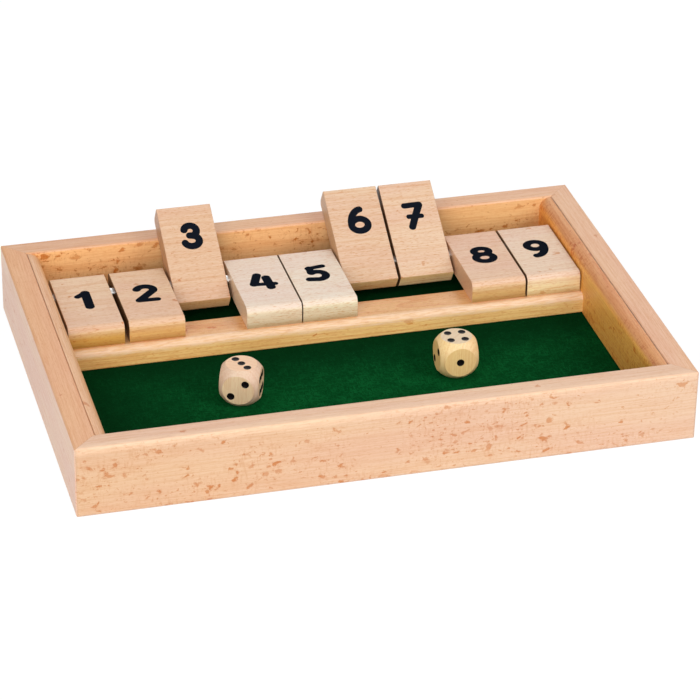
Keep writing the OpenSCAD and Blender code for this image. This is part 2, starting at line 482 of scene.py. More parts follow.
def grain_place(w, turn=(0, 0, 0), pivot=(0, 0, 0), shift=(0, 0, 0)):
    """Object coordinates in millimetres, turned about a pivot so that x runs with the grain, then shifted."""
    own = w.put("ShaderNodeTexCoord").outputs
    middle = Vector(pivot) / MM
    place = middle - Quaternion((1, 0, 0), turn[0]) @ middle + Vector(shift)
    values = {"Vector": own["Object"], "Location": place, "Rotation": turn, "Scale": (1 / MM,) * 3}
    mapping = w.put("ShaderNodeMapping", values)
    normal = w.put("ShaderNodeMapping", {"Vector": own["Normal"], "Rotation": turn}, vector_type="VECTOR")
    return mapping.outputs[0], normal.outputs[0]


def toned(w, ground, tint, along):
    """The ground times a tint, or times two tints that run into each other from one end to the other."""
    if isinstance(tint[0], tuple):
        return w.mix(along, tinted(ground, tint[0]), tinted(ground, tint[1]))
    return tinted(ground, tint)


def facing(w, normal, axis, low, high):
    """Mask of the surfaces square to an axis."""
    return w.group("Facing", Normal=normal, Axis=axis, Low=low, High=high)["Mask"]


def painted_end_light(w, place, piece, face, edge):
    """Painted light on a tile's two ends: a painted highlight toward the edge that shows most, painted shade
    toward the other.
    """
    split = w.parts(w.vector("SUBTRACT", place, piece["shift"]))
    pivot, bottom, top = piece["painted_ends_mm"]
    front = w.step(split[1], pivot - 1.0, pivot + 1.0, 1.0, 0.0)
    height = w.blend(front, w.minus(bottom + top, split[2]), split[2])
    lower = w.step(height, bottom - 0.3, bottom + 4.4)
    upper = w.step(height, top - 6.5, top - 1.0)
    edge = w.mix(lower, tinted(edge, END_PAINTED_SHADE), tinted(edge, END_MIDDLE_PAINTED_LIGHT))
    return w.mix(upper, edge, tinted(face, piece["end_highlight_tint"]))


def glued_seam(w, plain, along, piece):
    """Mask of the glued seam beside a strip, fading and broken along its length."""
    off = w.absolute(w.minus(SEAM_MM, w.absolute(w.parts(plain)[0])))
    seam = w.step(off, 0.1, piece["seam_wide_mm"], 1.0, 0.0)
    front, rear = piece["seam_depth"]
    broken = w.step(w.noise(plain, (0.5, 0.16, 0.5)), 0.35, 0.6, 0.55, 1.0)
    return w.times(w.times(seam, w.step(along, 0.25, 0.75, front, rear)), broken)


def beech_material(node, ground, cut):
    """Beech for one packed solid. Its cut gives its place in the log and how lively its figure is."""
    wood = bpy.context.scene.game_wood
    piece = {**USUAL_CUT, "satin": wood.satin, **cut}
    material, w, shader = new_material("Wood of " + node.replace("_", " "), piece["satin"])
    place, normal = grain_place(w, piece["turn"], piece["pivot"], piece["shift"])
    plain = w.put("ShaderNodeTexCoord").outputs["Object"]
    plain = w.put("ShaderNodeVectorMath", {0: plain, "Scale": 1 / MM}, operation="SCALE").outputs["Vector"]
    long_axis = 1 if piece["turn"][2] else 0
    half = (HALF_LENGTH_MM, HALF_DEPTH_MM)[long_axis]
    whole = {"Value": w.parts(plain)[long_axis], "From Min": -half, "From Max": half}
    along = w.put("ShaderNodeMapRange", whole).outputs[0]
    # Faces that look up take the tint and the others the edge tint; their difference is painted light, a
    # painted sheen on the tops and painted shade and light on the sides.
    face = toned(w, ground, piece["tint"], along)
    edge = toned(w, ground, piece.get("edge_tint", piece["tint"]), along)
    # Painted shade and a painted highlight on a tile's ends.
    if "painted_ends_mm" in piece:
        edge = painted_end_light(w, place, piece, face, edge)
    log = {"Place": place, "Heart": piece["heart"], "Late": opaque(wood.late), "Ring_width": wood.ring / MM}
    figure = w.group(
        "Beech figure",
        Ground=w.mix(facing(w, normal, (0, 0, 1), 0.12, 0.62), edge, face),
        Fleck=tinted(wood.fleck, piece["fleck_tint"]),
        Dash_strength=piece["dashes"],
        Blush=opaque(wood.blush),
        Ring_strength=piece["rings"],
        Streak_strength=piece["streaks"],
        Pore_strength=piece["pores"],
        Fleck_size=wood.fleck_size / MM * piece["fleck_scale"],
        **log,
    )
    flecks = piece["flecks"]
    if isinstance(flecks, tuple):
        flecks = w.between(facing(w, normal, (0, 1, 0), 0.5, 0.9), *flecks)
    w.join(flecks, figure[0].node.inputs["Fleck share"])
    colour, height = figure["Color"], figure["Height"]
    # The sawn ends take the end tints, which on the tiles carry painted shade for the gaps.
    if "end_tint" in piece:
        left, right = (tinted(face, tint) for tint in piece["end_tint"])
        sawn = w.mix(w.step(w.parts(normal)[0], -0.1, 0.1), left, right)
        cut_across = w.group("End grain figure", Ground=sawn, **log)
        ends = facing(w, normal, (1, 0, 0), 0.75, 0.92)
        colour = w.mix(ends, colour, cut_across["Color"])
        height = w.blend(ends, height, cut_across["Height"])
    # A painted highlight along the piece's rounded front edge, streaky and fading from one end to the other.
    if "edge_highlight_share" in piece:
        low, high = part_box(node)
        worn = w.group("Worn edge", Place=plain, Edge=(0.0, low.y / MM, high.z / MM))
        share = w.times(worn["Mask"], w.between(along, *piece["edge_highlight_share"]))
        colour = w.mix(share, colour, opaque(wood.worn))
    # Painted light: the flat facets of a die toned apart from its rounded parts.
    if "facet_tint" in piece:
        for axis in ((1, 0, 0), (0, 1, 0), (0, 0, 1)):
            facet = facing(w, normal, axis, 0.975, 0.995)
            colour = w.mix(facet, colour, opaque(piece["facet_tint"]), "MULTIPLY")
    glue = opaque(GLUE)
    if piece["mitred"]:
        line = w.group("Mitre line", Place=plain)
        colour = w.mix(w.times(line["Mask"], 0.3), colour, glue)
        height = w.minus(height, line["Mask"])
    if "seam_depth" in piece:
        colour = w.mix(glued_seam(w, plain, along, piece), colour, glue)
    dress(w, shader, colour, w.plus(figure["Roughness"], piece["satin"]), height, piece["relief_mm"])
    return material


def steel_material():
    """Drawn steel wire, with fine marks along its length."""
    material, w, shader = new_material("Drawn steel", 0.2, Metallic=1.0)
    marks = w.noise(grain_place(w)[0], (0.06, 6.0, 6.0), 3.0, 0.6)
    colour = w.mix(marks, *(opaque(tone) for tone in STEEL))
    dress(w, shader, colour, w.step(marks, 0.2, 0.8, 0.14, 0.26), marks, 0.002)
    return material


def felt_material():
    """Pressed wool felt: matted fibres in many directions, with a slow mottle and painted shade toward its
    sides and the stop rail.
    """
    green = bpy.context.scene.game_felt.green
    material, w, shader = new_material("Green felt", 0.95, Specular_IOR_Level=0.0)
    place = grain_place(w)[0]
    fine = w.noise(place, (1.5, 1.5, 1.5), 3.0, 0.7)
    lying_x = w.noise(w.vector("ADD", place, (31.0, 7.0, 0.0)), (0.35, 1.4, 1.0), 2.0, 0.6)
    lying_y = w.noise(w.vector("ADD", place, (5.0, 63.0, 0.0)), (1.4, 0.35, 1.0), 2.0, 0.6)
    mottle = w.noise(place, (0.11, 0.11, 0.11), 3.0, 0.6)
    fibres = w.largest(lying_x, lying_y)
    light = w.plus(w.times(w.step(fibres, 0.42, 0.72), 0.6), w.times(w.step(fine, 0.3, 0.7), 0.4))
    colour = w.mix(light, tinted(green, (0.5, 0.5, 0.45)), tinted(green, (1.8, 1.56, 1.66)))
    colour = w.mix(w.step(mottle, 0.36, 0.62, 0.45, 0.0), colour, tinted(green, (0.5, 0.55, 0.5)))
    # Painted shade: the felt darkens toward its left and right sides and toward and under the stop rail.
    split = w.parts(place)
    dull = w.largest(*(w.step(split[axis], *reach) for axis, reach in FELT_PAINTED_SHADE_MM))
    colour = w.mix(dull, colour, tinted(green, (0.6, 0.3, 0.35)))
    rough = w.step(fine, 0.3, 0.7, 0.86, 1.0)
    dress(w, shader, colour, rough, w.plus(fine, w.times(fibres, 0.8)), 0.2)
    return material


def lint_material():
    """Loose fibre ends of the felt, some paler than others."""
    felt = bpy.context.scene.game_felt
    material, w, shader = new_material("Felt lint", 0.9, Specular_IOR_Level=0.02)
    tone = w.noise(grain_place(w)[0], (0.9, 0.9, 0.9))
    colour = w.mix(w.step(tone, 0.35, 0.7), opaque(felt.green), opaque(felt.light))
    dress(w, shader, colour, w.step(tone, 0.3, 0.7, 0.85, 0.95))
    return material


def ink_material(name, colour, rough, thin, gloss):
    """Ink or paint that lets a little of the grain below it show."""
    material, w, shader = new_material(name, rough, Specular_IOR_Level=gloss)
    grain = w.noise(grain_place(w)[0], (0.5, 3.2, 3.2), 2.0, 0.6)
    base = w.mix(w.step(grain, 0.55, 0.85, 0.0, thin), opaque(colour), opaque(BARE_WOOD))
    dress(w, shader, base, w.step(grain, 0.3, 0.8, rough - 0.06, rough + 0.1), grain, 0.012)
    return material


def straight_rays(w):
    """1 for the rays that see the background plainly: from the camera, or by way of a gloss or glass."""
    seen = w.put("ShaderNodeLightPath").outputs
    return w.largest(seen["Is Camera Ray"], seen["Is Glossy Ray"], seen["Is Transmission Ray"])


def floor_material(colour):
    """A plain floor that stays white round the object but keeps its shadow."""
    material, w, shader = new_material("Plain floor", 0.9, Specular_IOR_Level=0.0)
    shader.inputs["Base Color"].default_value = opaque(colour)
    glow = w.put("ShaderNodeEmission", {"Color": (1, 1, 1, 1), "Strength": FLOOR_GLOW})
    both = w.put("ShaderNodeMixShader", {0: w.times(straight_rays(w), FLOOR_GLOW_SHARE)})
    w.join(shader.outputs[0], both.inputs[1])
    w.join(glow.outputs[0], both.inputs[2])
    w.join(both.outputs[0], w.tree.nodes["Material Output"].inputs["Surface"])
    return material


def finish_node(name, material):
    """Gives a packed solid its finish."""
    node = frame["nodes"][name]
    if not node.material_slots:
        node.data.materials.append(material)
    for place in node.material_slots:
        place.material = material


def finish_wood(name, ground, cut):
    """Gives a packed solid its own piece of beech."""
    finish_node(name, beech_material(name, ground, cut))


# Meshes


def linked(name, data):
    """A new object in the scene."""
    made = bpy.data.objects.new(name, data)
    bpy.context.scene.collection.objects.link(made)
    return made


def new_piece(name, verts, faces, material, smooth=False):
    """A mesh object at the origin, its place in its mesh."""
    mesh = bpy.data.meshes.new(name)
    mesh.from_pydata(verts, [], faces)
    work = bmesh.new()
    work.from_mesh(mesh)
    bmesh.ops.recalc_face_normals(work, faces=work.faces)
    work.to_mesh(mesh)
    work.free()
    mesh.materials.append(material)
    for polygon in mesh.polygons:
        polygon.use_smooth = smooth
    return linked(name, mesh)


def face_turn(node, axis):
    """Direction of the node's largest flat face square to an axis, in degrees round that axis."""
    others = [i for i in range(3) if i != axis]
    found = {}
    for polygon in frame["nodes"][node].data.polygons:
        normal = polygon.normal
        if abs(normal[axis]) > 0.01:
            continue
        degrees = math.degrees(math.atan2(normal[others[1]], normal[others[0]]))
        key = round(degrees, 1)
        area, total = found.get(key, (0.0, 0.0))
        found[key] = (area + polygon.area, total + polygon.area * degrees)
    area, total = max(found.values())
    return total / area


# Numbers, drawn with a round pen in millimetres about their own middle


# Each stroke is a pen radius and its points, or arcs as middle, half axes and angles from and to.
GLYPHS = {
    1: [(2.2, [(0.9, 6.6), (0.8, -6.7)]), (1.65, [(0.7, 6.5), (-3.1, 3.7)])],
    2: [(2.0, [(0.5, 3.2, 3.9, 3.4, 160, -20), (-3.7, -6.0)]), (1.65, [(-4.1, -6.2), (4.5, -6.6)])],
    3: [(1.75, [(0.7, 2.8, 2.95, 2.8, 165, -70), (0.0, 0.25)]), (1.75, [(0.6, -2.75, 3.5, 2.85, 80, -165)])],
    4: [
        (2.1, [(-1.3, 6.3), (-4.4, -2.0)]),
        (1.55, [(-4.6, -2.3), (5.3, -3.2)]),
        (2.15, [(2.4, 3.3), (2.8, -6.2)]),
    ],
    5: [
        (1.6, [(-2.9, 4.9), (4.2, 6.0)]),
        (1.8, [(-2.3, 5.2), (-2.5, 0.6)]),
        (1.95, [(0.0, -2.6, 3.9, 3.7, 125, -95), (-4.5, -5.5)]),
    ],
    6: [(1.7, [(0.5, -2.6, 4.0, 3.3, 0, 360)]), (1.7, [(2.6, -2.6, 6.1, 8.5, 97, 180)])],
    7: [
        (1.5, [(-3.1, 5.95), (4.2, 6.05)]),
        (1.75, [(4.1, 5.65), (1.6, 0.8), (-1.5, -5.85)]),
        (1.25, [(-2.1, -0.2), (4.1, -0.4)]),
    ],
    8: [(1.9, [(-0.1, 3.75, 3.55, 2.95, 0, 360)]), (1.95, [(-0.2, -2.6, 4.2, 3.55, 0, 360)])],
    9: [(1.95, [(-0.2, 3.3, 4.0, 3.7, 0, 360)]), (1.95, [(-2.5, 3.3, 6.3, 10.0, 0, -88)])],
}
GLYPH_HALF_MM = (8, 10)
GLYPH_GRID_MM = 0.2
ARC_CHORD_DEGREES = 6
PLATE_SUNK_MM = 0.05

# Where the print sits: how far right of the tile's middle line, and how far from the rod end on the
# face that shows when shut, or from the free end on the face that shows when raised.
SHUT_PRINT_MM = {
    1: (-0.03, 24.96), 2: (-0.27, 25.03), 4: (0.14, 26.35), 5: (0.12, 24.03), 8: (0.3, 25.06),
    9: (0.24, 24.75),
}
RAISED_PRINT_MM = {3: (0.11, 16.46), 6: (0.34, 17.88), 7: (0.19, 18.83)}
USUAL_SHUT_MM = (0.0, 25.2)
USUAL_RAISED_MM = (0.2, 17.4)


def pen_path(parts):
    """The points of a stroke, its arcs split into short chords."""
    points = []
    for part in parts:
        if len(part) == 2:
            points.append(part)
            continue
        x, y, wide, high, start, end = part
        steps = max(8, int(abs(end - start) / ARC_CHORD_DEGREES))
        for i in range(steps + 1):
            a = math.radians(start + (end - start) * i / steps)
            points.append((x + wide * math.cos(a), y + high * math.sin(a)))
    return points


def glyph_field(strokes, xs, ys):
    """Distance in millimetres from each grid point to the edge of the pen's mark, below 0 inside it."""
    gx, gy = np.meshgrid(xs, ys, indexing="ij")
    field = np.full(gx.shape, 1e3)
    for pen, parts in strokes:
        path = pen_path(parts)
        for (ax, ay), (bx, by) in zip(path, path[1:]):
            dx, dy = bx - ax, by - ay
            share = np.clip(((gx - ax) * dx + (gy - ay) * dy) / (dx * dx + dy * dy), 0, 1)
            field = np.minimum(field, np.hypot(gx - ax - share * dx, gy - ay - share * dy) - pen)
    return field


def outline_loops(field, xs, ys):
    """Closed outlines round the field's inside, by walking the crossings of each grid cell."""
    onward, where = {}, {}
    for i in range(len(xs) - 1):
        for j in range(len(ys) - 1):
            corners = [(i, j), (i + 1, j), (i + 1, j + 1), (i, j + 1)]
            values = [field[c] for c in corners]
            if min(values) >= 0 or max(values) < 0:
                continue
            crossings = []
            for k in range(4):
                a, b = corners[k], corners[(k + 1) % 4]
                if (field[a] < 0) == (field[b] < 0):
                    continue
                key = (min(a, b), max(a, b))
                share = field[a] / (field[a] - field[b])
                x = xs[a[0]] + share * (xs[b[0]] - xs[a[0]])
                where[key] = (x, ys[a[1]] + share * (ys[b[1]] - ys[a[1]]))
                crossings.append((key, field[a] < 0))
            for k, (key, leaving) in enumerate(crossings):
                if leaving:
                    onward[key] = crossings[k - 1][0]
    loops = []
    while onward:
        start = next(iter(onward))
        loop, key = [], start
        while key in onward:
            loop.append(where[key])
            key = onward.pop(key)
        loops.append(loop)
    return loops


def number_plate(number, film):
    """Vertices and faces of one number as a thin closed plate, in metres, facing +z."""
    xs, ys = (np.arange(-half, half + GLYPH_GRID_MM, GLYPH_GRID_MM) for half in GLYPH_HALF_MM)
    loops = outline_loops(glyph_field(GLYPHS[number], xs, ys), xs, ys)
    flat = [point for loop in loops for point in loop]
    verts = [(x * MM, y * MM, z) for z in (-PLATE_SUNK_MM * MM, film) for x, y in flat]
    total = len(flat)
    faces = []
    for a, b, c in tessellate_polygon([[Vector((x, y, 0)) for x, y in loop] for loop in loops]):
        faces += [(a, b, c), (c + total, b + total, a + total)]
    first = 0
    for loop in loops:
        for k in range(len(loop)):
            a, b = first + k, first + (k + 1) % len(loop)
            faces.append((a, b, b + total, a + total))
        first += len(loop)
    return verts, faces


def raised_angle(number):
    """How far a tile is turned up about the rod in the picture, 0 for a shut one."""
    shut = face_turn(f"tile_{number}", 0)
    turned = (shut - 90) % 180
    return 0.0 if min(turned, 180 - turned) < 1 else -math.radians(180 - turned)


def shut_box():
    """Box round a tile that lies shut."""
    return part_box(next(f"tile_{n}" for n in TILES if raised_angle(n) == 0))


def shut_to_drawn(number):
    """Matrix that turns a tile from shut to how the picture shows it."""
    pivot = HINGE[f"tile_{number}"]
    turn = Matrix.Rotation(raised_angle(number), 4, "X")
    return Matrix.Translation(pivot) @ turn @ Matrix.Translation(-pivot)


# The tray's felt


# A hair's middle forward and aside, and its tip forward and up, as shares of its length.
HAIR_MIDDLE = (0.45, 0.22)
HAIR_TIP = (0.8, 0.12)
HAIR_ROOT = (0, 0, -0.03 * MM)
HAIR_TILTS = {"Min": (-0.12, -0.1, 0.0), "Max": (0.12, 0.04, 6.2832)}
HAIR_SIZES = (0.45, 1.15)
HAIR_SIDES = 3
# Least upward part of the normal where hairs grow.
FACES_UP = 0.9
FELT_PITCH = 2.1 * MM
# The felt's face stays this far under the top of its packed solid.
FELT_LOW = 0.01 * MM
# Size, layer and share of each of the felt's waves.
FELT_WAVES = ((0.021, 3.7, 1.0), (0.006, 9.1, 0.5))
# Rows of points this far inside the felt's cut edge.
FELT_ROWS = [0.0, 0.0001, 0.00022, 0.00045, 0.001]
# The felt lies flat under these pieces, and has its full wave from this far beside them.
WEIGHTS = ("stop_rail", "left_die", "right_die")
WEIGHT_REACH = 4 * MM
# Painted shade on the felt: along x or y, where it darkens from and to, and by how much at each.
FELT_PAINTED_SHADE_MM = (
    (0, (-125.0, -40.0, 0.8, 0.0)),
    (0, (45.0, 128.0, 0.0, 0.42)),
    (1, (-32.0, 14.0, 0.0, 0.85)),
    (1, (14.0, 34.0, 0.0, 0.7)),
)


def spaced(low, high):
    """Places from low to high, close together at both ends and a pitch apart between them."""
    *outer, last = FELT_ROWS
    count = max(2, round((high - low - 2 * last) / FELT_PITCH) + 1)
    inner = np.linspace(low + last, high - last, count)
    return [low + f for f in outer] + list(inner) + [high - f for f in reversed(outer)]


def felt_top(x, y, low, high, felt, pressed):
    """Height of the felt's face, with its slow wave, its rolled cut edge and its flat pressed places."""
    slow = sum(part * noise.noise(Vector((x / size, y / size, layer))) for size, layer, part in FELT_WAVES)
    near = min(math.hypot(max(a.x - x, 0, x - b.x), max(a.y - y, 0, y - b.y)) for a, b in pressed)
    wave = felt.wave * (0.75 + 0.5 * slow) * min(1.0, near / WEIGHT_REACH)
    side = min(x - low.x, high.x - x, y - low.y, high.y - y)
    short = max(0.0, felt.edge - side)
    roll = felt.edge - math.sqrt(max(0.0, felt.edge**2 - short**2))
    return high.z - FELT_LOW - wave - roll


def felt_mesh(felt, material):
    """The felt as one closed sheet in the place of its packed solid."""
    low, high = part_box("felt")
    pressed = [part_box(name) for name in WEIGHTS]
    xs, ys = spaced(low.x, high.x), spaced(low.y, high.y)
    verts = [(x, y, felt_top(x, y, low, high, felt, pressed)) for x in xs for y in ys]
    wide, deep = len(xs), len(ys)
    faces = []
    for i in range(wide - 1):
        for j in range(deep - 1):
            a = i * deep + j
            faces.append((a, a + deep, a + deep + 1, a + 1))
    rim = [i * deep for i in range(wide)]
    rim += [(wide - 1) * deep + j for j in range(1, deep)]
    rim += [i * deep + deep - 1 for i in range(wide - 2, -1, -1)]
    rim += [j for j in range(deep - 2, 0, -1)]
    below = len(verts)
    verts += [(verts[k][0], verts[k][1], low.z) for k in rim]
    for k in range(len(rim)):
        n = (k + 1) % len(rim)
        faces.append((rim[k], below + k, below + n, rim[n]))
    faces.append(tuple(below + k for k in range(len(rim))))
    return new_piece("felt_sheet", verts, faces, material, smooth=True)


def within(spot, low, high, more):
    """Whether a spot lies in a box that is seen from above and made larger all round."""
    return all(low[axis] - more < spot[axis] < high[axis] + more for axis in (0, 1))


def new_recipe(name, inputs):
    """An empty Geometry Nodes tree with named inputs. Returns its wiring and what it is given."""
    tree = bpy.data.node_groups.new(name, "GeometryNodeTree")
    geometry = {"name": "Geometry", "socket_type": "NodeSocketGeometry"}
    tree.interface.new_socket(in_out="INPUT", **geometry)
    for label, default in inputs.items():
        kind = "NodeSocketInt" if isinstance(default, int) else "NodeSocketFloat"
        socket = tree.interface.new_socket(name=label, in_out="INPUT", socket_type=kind)
        socket.default_value = default
    tree.interface.new_socket(in_out="OUTPUT", **geometry)
    w = Wiring(tree)
    return w, w.put("NodeGroupInput").outputs


def set_on_points(w, material, **sockets):
    """Ends a recipe: a thing set on points, made real and given its material."""
    spread = w.put("GeometryNodeInstanceOnPoints", sockets)
    real = w.put("GeometryNodeRealizeInstances", {"Geometry": spread})
    coated = w.put("GeometryNodeSetMaterial", {"Geometry": real, "Material": material})
    w.join(coated, w.put("NodeGroupOutput").inputs[0])
    return w.tree


def lint_tree(values, material):
    """Geometry Nodes that scatter short curled fibres over the felt's face."""
    w, given = new_recipe("Felt lint", values)
    level = w.math("GREATER_THAN", w.parts(w.put("GeometryNodeInputNormal"))[2], FACES_UP)
    open_place = w.put("GeometryNodeInputNamedAttribute", {"Name": "open"}, data_type="FLOAT")
    density = w.times(given["Hairs per square metre"], open_place)
    seed = given["Seed"]
    sown = {"Mesh": given["Geometry"], "Selection": level, "Density": density, "Seed": seed}
    points = w.put("GeometryNodeDistributePointsOnFaces", sown)
    long = given["Length"]
    middle = w.point(X=w.times(long, HAIR_MIDDLE[0]), Y=w.times(long, HAIR_MIDDLE[1]))
    tip = w.point(X=w.times(long, HAIR_TIP[0]), Z=w.times(long, HAIR_TIP[1]))
    bend = {"Resolution": HAIR_SIDES, "Start": HAIR_ROOT, "Middle": middle, "End": tip}
    bow = w.put("GeometryNodeCurveQuadraticBezier", bend)
    round_hair = {"Resolution": HAIR_SIDES, "Radius": w.times(given["Thickness"], 0.5)}
    ring = w.put("GeometryNodeCurvePrimitiveCircle", round_hair)
    hair = w.put("GeometryNodeCurveToMesh", {"Curve": bow, "Profile Curve": ring, "Fill Caps": True})
    twist = w.put("FunctionNodeRandomValue", {**HAIR_TILTS, "Seed": seed}, data_type="FLOAT_VECTOR")
    sizes = {2: HAIR_SIZES[0], 3: HAIR_SIZES[1], "Seed": w.plus(seed, 7.0)}
    size = w.put("FunctionNodeRandomValue", sizes, data_type="FLOAT")
    return set_on_points(w, material, Points=points, Instance=hair, Rotation=twist, Scale=size.outputs[1])


def grown(name, start, tree, values):
    """Runs a Geometry Nodes tree on a mesh object and keeps the result as a plain mesh piece."""
    modifier = start.modifiers.new("make", "NODES")
    modifier.node_group = tree
    for item in tree.interface.items_tree:
        if item.item_type == "SOCKET" and item.in_out == "INPUT" and item.name in values:
            modifier[item.identifier] = values[item.name]
    bpy.context.view_layer.update()
    depsgraph = bpy.context.evaluated_depsgraph_get()
    mesh = bpy.data.meshes.new_from_object(start.evaluated_get(depsgraph))
    start.modifiers.remove(modifier)
    mesh.name = name
    return linked(name, mesh)


# The dice's pips


PIP_PITCH = 3.3 * MM
PIP_DEPTH = 0.4 * MM
DIMPLE_WIDE = 3.1 * MM
PAINT_THICK = 0.03 * MM
BALL_SIDES = 28
BALL_RINGS = 60
WELD = 0.001 * MM
CORNERS = [(1, 1), (-1, 1), (-1, -1), (1, -1)]
PIPS = {
    1: [(0, 0)],
    2: [(1, 1), (-1, -1)],
    3: [(-1, 1), (0, 0), (1, -1)],
    4: CORNERS,
    5: CORNERS + [(0, 0)],
    6: [(-1, 1), (0, 1), (1, 1), (-1, -1), (0, -1), (1, -1)],
}
# The numbers on the top, front, right, back, left and under faces, and how each face is turned.
DICE_FACES = {"left_die": (3, 2, 6, 5, 1, 4), "right_die": (4, 1, 5, 6, 2, 3)}
FACE_TURNS = [(0, 0), (90, 0), (90, 90), (90, 180), (90, 270), (180, 0)]


def die_turn(die):
    """How far a die is turned about the upright axis, from minus to plus 45 degrees."""
    return math.radians((face_turn(die, 2) + 45) % 90 - 45)


def die_pips(die):
    """Middle and outward direction of every pip of a die, in the tray's frame."""
    low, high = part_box(die)
    middle = (low + high) / 2
    half = (high.z - low.z) / 2
    own = Matrix.Rotation(die_turn(die), 3, "Z")
    places = []
    for number, (tip, spin) in zip(DICE_FACES[die], FACE_TURNS):
        face = own @ Matrix.Rotation(math.radians(spin), 3, "Z") @ Matrix.Rotation(math.radians(tip), 3, "X")
        for x, y in PIPS[number]:
            at = Vector((x * PIP_PITCH, y * PIP_PITCH, half))
            places.append((middle + face @ at, face @ Vector((0, 0, 1))))
    return places


def pip_tree(values, material):
    """Geometry Nodes that set one thin painted dish in each dimple, square to its face."""
    w, given = new_recipe("Pip dishes", values)
    radius, depth = given["Ball radius"], given["Depth"]
    ball = w.put("GeometryNodeMeshUVSphere", {"Segments": BALL_SIDES, "Rings": BALL_RINGS, "Radius": radius})
    spot = w.parts(w.put("GeometryNodeInputPosition"))
    share = w.math("DIVIDE", given["Paint radius"], radius)
    brink = w.times(w.math("COSINE", w.math("ARCSINE", share)), radius)
    above = w.math("GREATER_THAN", spot[2], w.times(brink, -1.0))
    removed = {"Geometry": ball, "Selection": above}
    dish = w.put("GeometryNodeDeleteGeometry", removed, domain="POINT")
    pressed = w.point(X=spot[0], Y=spot[1], Z=w.math("MINIMUM", spot[2], w.minus(depth, radius)))
    dish = w.put("GeometryNodeSetPosition", {"Geometry": dish, "Position": pressed})
    upper = w.put("GeometryNodeFlipFaces", {"Mesh": dish})
    thick = {"Mesh": upper, "Offset Scale": given["Coat"], "Individual": False}
    coat = w.put("GeometryNodeExtrudeMesh", thick, mode="FACES")
    both = w.put("GeometryNodeJoinGeometry")
    w.join(coat, both.inputs[0])
    w.join(dish, both.inputs[0])
    closed = w.put("GeometryNodeMergeByDistance", {"Geometry": both, "Distance": WELD})
    lift = w.point(Z=w.minus(radius, depth))
    placed = w.put("GeometryNodeTransform", {"Geometry": closed, "Translation": lift})
    outward = w.put("GeometryNodeInputNamedAttribute", {"Name": "outward"}, data_type="FLOAT_VECTOR")
    square = w.put("FunctionNodeAlignRotationToVector", {"Vector": outward}, axis="Z")
    return set_on_points(w, material, Points=given["Geometry"], Instance=placed, Rotation=square)


# Operators


QUARTER = math.radians(90)
